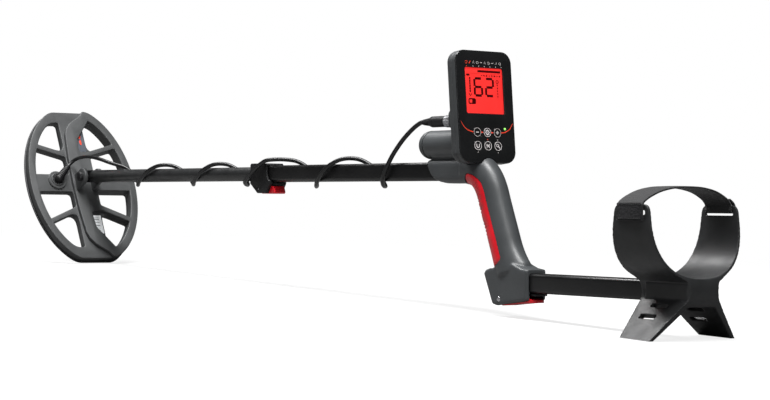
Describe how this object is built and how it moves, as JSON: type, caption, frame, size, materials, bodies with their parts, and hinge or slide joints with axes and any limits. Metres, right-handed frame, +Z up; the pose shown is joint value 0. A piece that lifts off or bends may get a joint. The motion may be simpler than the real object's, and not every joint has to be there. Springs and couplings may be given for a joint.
{
  "type": "metal detector",
  "caption": "Hand-held ground metal detector with a tilting search coil, telescopic shafts, pistol grip, screen pod and an arm cuff that doubles as a stand.",
  "frame": {"origin": "centre of the bounding box at floor level, with the detector standing on its coil's heel and its cuff feet", "axes": "+X from the coil to the arm cuff, +Y to the user's right, +Z up"},
  "size_m": [1.4376, 0.179, 0.3056],
  "materials": {
    "coil_shell": "fine matt moulded charcoal plastic",
    "coil_cover": "matt dark grey plastic, scuffed in use",
    "winding": "enamelled copper wire potted in resin",
    "shaft_composite": "satin dark glass-fibre tube",
    "shaft_aluminium": "black anodised aluminium",
    "black_plastic": "fine matt black moulded plastic",
    "handle_plastic": "fine matt charcoal plastic",
    "gloss_black": "piano black with printed marks",
    "red_plastic": "satin red plastic",
    "window": "red-tinted clear window",
    "lcd": "backlit liquid crystal panel",
    "led": "clear green diode",
    "board": "green solder resist",
    "steel": "turned bright steel",
    "rubber": "matt black rubber",
    "cable_jacket": "matt black flexible jacket",
    "battery_cell": "plain wrapped cell",
    "webbing": "woven black webbing with a hook and loop patch"
  },
  "bodies": {
    "handle_and_pod": {"handle_left_shell": "handle_plastic", "handle_right_shell": "handle_plastic", "grip_insert": "red_plastic", "handle_screw_1": "steel", "handle_screw_2": "steel", "mid_tube": "shaft_aluminium", "front_clamp_collar": "black_plastic", "front_clamp_pad": "rubber", "front_lever_pin": "steel", "rear_clamp_pad": "black_plastic", "rear_lever_pin": "steel", "battery_carrier": "black_plastic", "battery_cell_left_1": "battery_cell", "battery_cell_left_2": "battery_cell", "battery_cell_right_1": "battery_cell", "battery_cell_right_2": "battery_cell", "pod_front_cover": "gloss_black", "display_window": "window", "lcd_module": "lcd", "keypad_membrane": "rubber", "status_led": "led", "circuit_board": "board", "speaker": "black_plastic", "pod_back_shell": "black_plastic", "pod_bracket": "black_plastic", "coil_socket": "black_plastic", "cable_plug": "black_plastic", "plug_boot": "rubber", "cable_wraps": "cable_jacket", "cable_pod_end": "cable_jacket"},
    "coil": {"coil_top_shell": "coil_shell", "coil_bottom_cover": "coil_cover", "skid_plate": "coil_cover", "transmit_winding": "winding", "receive_winding": "winding", "coil_cable_gland": "black_plastic", "coil_cable_boot": "rubber", "coil_bolt": "black_plastic", "coil_bolt_nut": "black_plastic"},
    "lower_shaft": {"lower_tube": "shaft_composite", "tube_end_fitting": "black_plastic", "hinge_washer_left": "rubber", "hinge_washer_right": "rubber", "cable_coil_end": "cable_jacket"},
    "rear_shaft": {"rear_tube": "shaft_aluminium", "rear_tube_front_plug": "black_plastic", "rear_tube_end_cap": "black_plastic", "arm_cuff": "black_plastic", "cuff_screw": "steel", "arm_strap": "webbing"},
    "front_lever": {"front_lever": "red_plastic"},
    "rear_lever": {"rear_lever": "red_plastic"},
    "battery_cap": {"battery_cap": "handle_plastic"},
    "plug_lock_ring": {"plug_lock_ring": "steel"},
    "key_minus": {"key_minus": "gloss_black"},
    "key_mode": {"key_mode": "gloss_black"},
    "key_plus": {"key_plus": "gloss_black"},
    "key_all_metal": {"key_all_metal": "gloss_black"},
    "key_reject": {"key_reject": "gloss_black"},
    "key_pinpoint": {"key_pinpoint": "gloss_black"}
  },
  "joints": [
    {"name": "lower_shaft_slide", "type": "slide", "parent": "handle_and_pod", "child": "lower_shaft", "axis": [0.9994, 0, 0.0337], "range_m": [0, 0.3], "deforming": ["cable_wraps"]},
    {"name": "coil_tilt", "type": "hinge", "parent": "lower_shaft", "child": "coil", "pos_m": [-0.62021, 0, 0.13242], "axis": [0, 1, 0], "range_deg": [-63.5, 46.5], "deforming": ["cable_coil_end"]},
    {"name": "rear_shaft_slide", "type": "slide", "parent": "handle_and_pod", "child": "rear_shaft", "axis": [-0.9994, 0, -0.0337], "range_m": [0, 0.16]},
    {"name": "front_lever_hinge", "type": "hinge", "parent": "handle_and_pod", "child": "front_lever", "pos_m": [-0.11683, 0, 0.12941], "axis": [0, 1, 0], "range_deg": [0, 100]},
    {"name": "rear_lever_hinge", "type": "hinge", "parent": "handle_and_pod", "child": "rear_lever", "pos_m": [0.40267, 0, 0.01988], "axis": [0, 1, 0], "range_deg": [0, 95]},
    {"name": "battery_cap_turn", "type": "hinge", "parent": "handle_and_pod", "child": "battery_cap", "pos_m": [0.24296, 0, 0.19359], "axis": [-0.9994, 0, -0.0337], "range_deg": [0, 60]},
    {"name": "plug_ring_turn", "type": "hinge", "parent": "handle_and_pod", "child": "plug_lock_ring", "pos_m": [0.28285, 0, 0.22295], "axis": [-0.9994, 0, -0.0337], "range_deg": [0, 720]},
    {"name": "key_minus_press", "type": "slide", "parent": "handle_and_pod", "child": "key_minus", "axis": [-0.9909, 0, -0.1344], "range_m": [0, 0.0008], "stiffness_N_per_m": 800},
    {"name": "key_mode_press", "type": "slide", "parent": "handle_and_pod", "child": "key_mode", "axis": [-0.9909, 0, -0.1344], "range_m": [0, 0.0008], "stiffness_N_per_m": 800},
    {"name": "key_plus_press", "type": "slide", "parent": "handle_and_pod", "child": "key_plus", "axis": [-0.9909, 0, -0.1344], "range_m": [0, 0.0008], "stiffness_N_per_m": 800},
    {"name": "key_all_metal_press", "type": "slide", "parent": "handle_and_pod", "child": "key_all_metal", "axis": [-0.9909, 0, -0.1344], "range_m": [0, 0.0008], "stiffness_N_per_m": 800},
    {"name": "key_reject_press", "type": "slide", "parent": "handle_and_pod", "child": "key_reject", "axis": [-0.9909, 0, -0.1344], "range_m": [0, 0.0008], "stiffness_N_per_m": 800},
    {"name": "key_pinpoint_press", "type": "slide", "parent": "handle_and_pod", "child": "key_pinpoint", "axis": [-0.9909, 0, -0.1344], "range_m": [0, 0.0008], "stiffness_N_per_m": 800}
  ]
}
